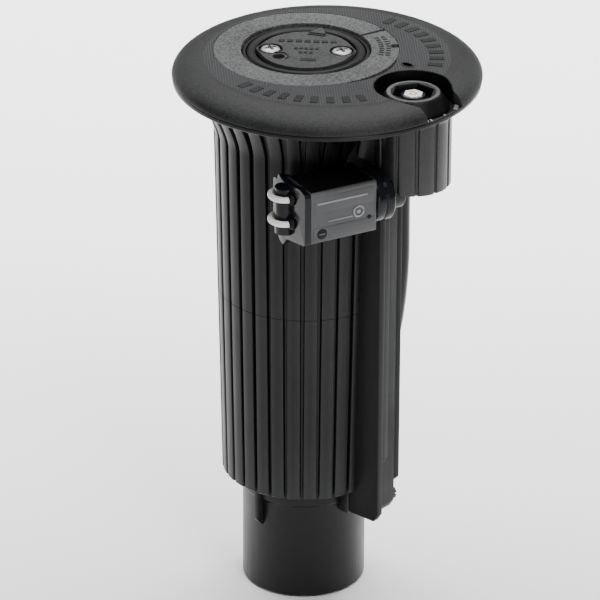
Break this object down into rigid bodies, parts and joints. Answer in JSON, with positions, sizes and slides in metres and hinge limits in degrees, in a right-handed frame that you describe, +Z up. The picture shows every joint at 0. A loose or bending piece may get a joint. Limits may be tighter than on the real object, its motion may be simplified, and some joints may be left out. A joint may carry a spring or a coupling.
{
  "type": "pop up sprinkler",
  "caption": "Ribbed valve-in-head rotor sprinkler with a round flange, spring-returned pop-up nozzle turret, selector dial and side solenoid.",
  "frame": {"origin": "middle of the flange circle, at the height of the inlet's rim", "axes": "+Z up along the riser's travel, +X from the riser towards the selector dial"},
  "size_m": [0.1777, 0.178, 0.34],
  "materials": {
    "case": "satin black moulded plastic, vertical flow sheen",
    "cover": "matte fine-grained black plastic",
    "ring": "mid grey granular texture",
    "rubber": "black rubber",
    "plastic": "dark grey satin plastic",
    "gloss": "glossy black potting and moulding",
    "acetal": "off-white acetal",
    "nozzle": "red nozzle plastic",
    "lead": "off-white lead insulation",
    "copper": "enamelled copper winding",
    "steel": "stainless steel",
    "brass": "brass"
  },
  "bodies": {
    "case": {"case_body": "case", "case_inlet": "case", "flange_cover": "cover", "retaining_ring": "ring", "bearing_guide": "acetal", "wiper_seal": "rubber", "guide_o_ring": "rubber", "lower_snap_ring": "steel", "discharge_tube": "gloss", "duct_plug": "plastic", "valve_cage": "plastic", "cage_o_ring": "rubber", "rock_screen": "acetal", "valve_spring": "steel", "retract_spring": "steel", "selector_sleeve": "acetal", "solenoid_housing": "plastic", "solenoid_potting": "gloss", "solenoid_coil": "copper", "core_tube": "steel", "pole_piece": "steel", "plunger_spring": "steel", "solenoid_adapter": "gloss", "lead_upper": "lead", "lead_lower": "lead"},
    "main_valve": {"valve_piston": "acetal", "valve_disc_seal": "rubber", "piston_seal": "rubber"},
    "riser": {"riser_sleeve": "plastic", "riser_base_ring": "acetal", "riser_screen": "acetal", "stator": "acetal", "gearbox_housing": "plastic", "gearbox_cover": "plastic", "idler_pin": "steel"},
    "turret": {"nozzle_turret": "plastic", "main_nozzle": "nozzle", "spreader_nozzle": "nozzle", "rubber_cap": "rubber", "cap_plate": "plastic", "cap_screw_1": "steel", "cap_screw_2": "steel", "output_gear": "acetal", "drive_shaft": "plastic"},
    "arc_screw": {"arc_adjust_screw": "steel"},
    "turbine": {"turbine_wheel": "acetal", "turbine_shaft": "steel", "turbine_pinion": "acetal"},
    "gear_a": {"gear_a": "acetal"},
    "gear_b": {"gear_b": "acetal"},
    "gear_c": {"gear_c": "acetal"},
    "selector": {"selector_dial": "plastic", "selector_o_ring": "rubber"},
    "pressure_screw": {"pressure_adjust_screw": "acetal", "pressure_adjust_core": "brass"},
    "plunger": {"plunger": "steel", "plunger_seal": "rubber"}
  },
  "joints": [
    {"name": "riser_popup", "type": "slide", "parent": "case", "child": "riser", "axis": [0, 0, 1], "range_m": [0, 0.079], "stiffness_N_per_m": 260, "springref_m": -0.1, "deforming": ["retract_spring"]},
    {"name": "turret_turn", "type": "hinge", "parent": "riser", "child": "turret", "pos_m": [-0.016, 0, 0.3], "axis": [0, 0, 1], "continuous": true},
    {"name": "gear_c_turn", "type": "hinge", "parent": "riser", "child": "gear_c", "pos_m": [-0.004, 0, 0.165], "axis": [0, 0, 1], "continuous": true},
    {"name": "gear_b_turn", "type": "hinge", "parent": "riser", "child": "gear_b", "pos_m": [-0.016, 0, 0.162], "axis": [0, 0, 1], "continuous": true},
    {"name": "gear_a_turn", "type": "hinge", "parent": "riser", "child": "gear_a", "pos_m": [-0.004, 0, 0.157], "axis": [0, 0, 1], "continuous": true},
    {"name": "turbine_spin", "type": "hinge", "parent": "riser", "child": "turbine", "pos_m": [-0.016, 0, 0.142], "axis": [0, 0, 1], "continuous": true},
    {"name": "arc_adjust", "type": "hinge", "parent": "turret", "child": "arc_screw", "pos_m": [-0.02141, -0.01769, 0.3272], "axis": [0, 0, 1], "range_deg": [-160, 155]},
    {"name": "main_valve_lift", "type": "slide", "parent": "case", "child": "main_valve", "axis": [0, 0, 1], "range_m": [0, 0.012], "stiffness_N_per_m": 300, "springref_m": -0.012, "deforming": ["valve_spring"]},
    {"name": "selector_turn", "type": "hinge", "parent": "case", "child": "selector", "pos_m": [0.06415, 0, 0.3], "axis": [0, 0, 1], "range_deg": [-45, 45]},
    {"name": "pressure_adjust", "type": "hinge", "parent": "case", "child": "pressure_screw", "pos_m": [0.06415, 0, 0.32], "axis": [0, 0, 1], "range_deg": [-180, 180]},
    {"name": "plunger_pull", "type": "slide", "parent": "case", "child": "plunger", "axis": [-0.3477, -0.9376, 0], "range_m": [0, 0.002], "stiffness_N_per_m": 400, "springref_m": -0.003}
  ],
  "couplings": [
    {"joint": "gear_c_turn", "follows": "turret_turn", "ratio": -2},
    {"joint": "gear_b_turn", "follows": "turret_turn", "ratio": 4},
    {"joint": "gear_a_turn", "follows": "turret_turn", "ratio": -8},
    {"joint": "turbine_spin", "follows": "turret_turn", "ratio": 16}
  ]
}
